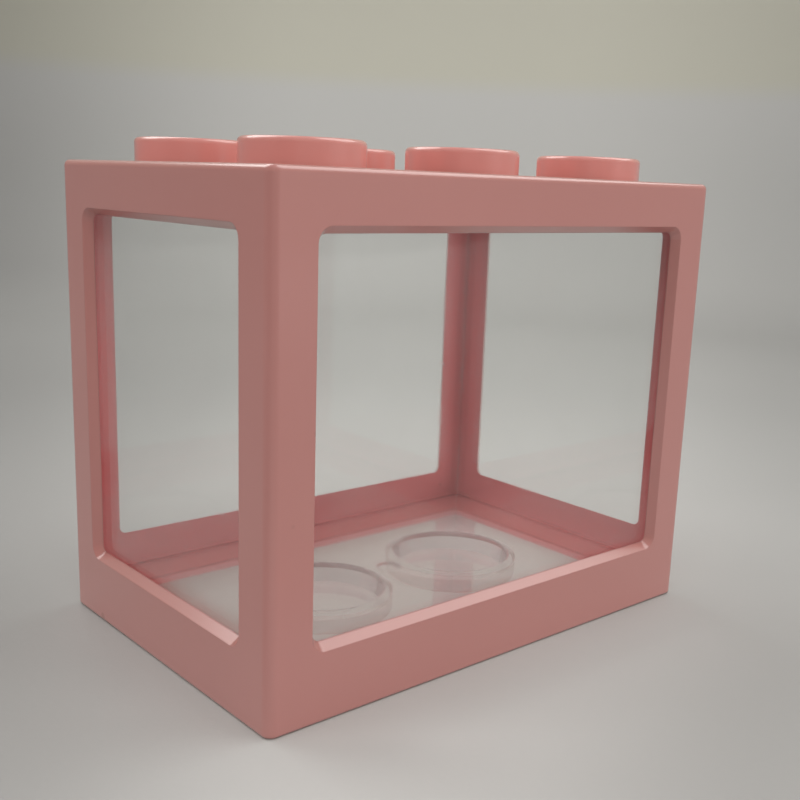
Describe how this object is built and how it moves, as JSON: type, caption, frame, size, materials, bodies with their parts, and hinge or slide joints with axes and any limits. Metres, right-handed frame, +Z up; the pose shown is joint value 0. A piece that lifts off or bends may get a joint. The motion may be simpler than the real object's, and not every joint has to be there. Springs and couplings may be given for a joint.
{
  "type": "fish breeding box",
  "caption": "Small stackable fish breeding box: a pink plastic window frame around a clear tank, closed by a lid whose round studs carry the next box.",
  "frame": {"origin": "middle of the base, on the plane the box stands on", "axes": "+Z up, towards the lid; X along the long side with three studs; Y along the short side with two studs"},
  "size_m": [0.12, 0.08, 0.105],
  "materials": {
    "frame_plastic": "glossy",
    "clear_plastic": "glossy clear",
    "lid_plastic": "glossy"
  },
  "bodies": {
    "frame": {"frame": "frame_plastic"},
    "tank": {"tank": "clear_plastic"},
    "lid": {"lid": "lid_plastic"}
  },
  "joints": [
    {"name": "tank_lift", "type": "slide", "parent": "frame", "child": "tank", "axis": [0, 0, 1], "range_m": [0, 0.11]},
    {"name": "lid_lift", "type": "slide", "parent": "tank", "child": "lid", "axis": [0, 0, 1], "range_m": [0, 0.04]}
  ]
}
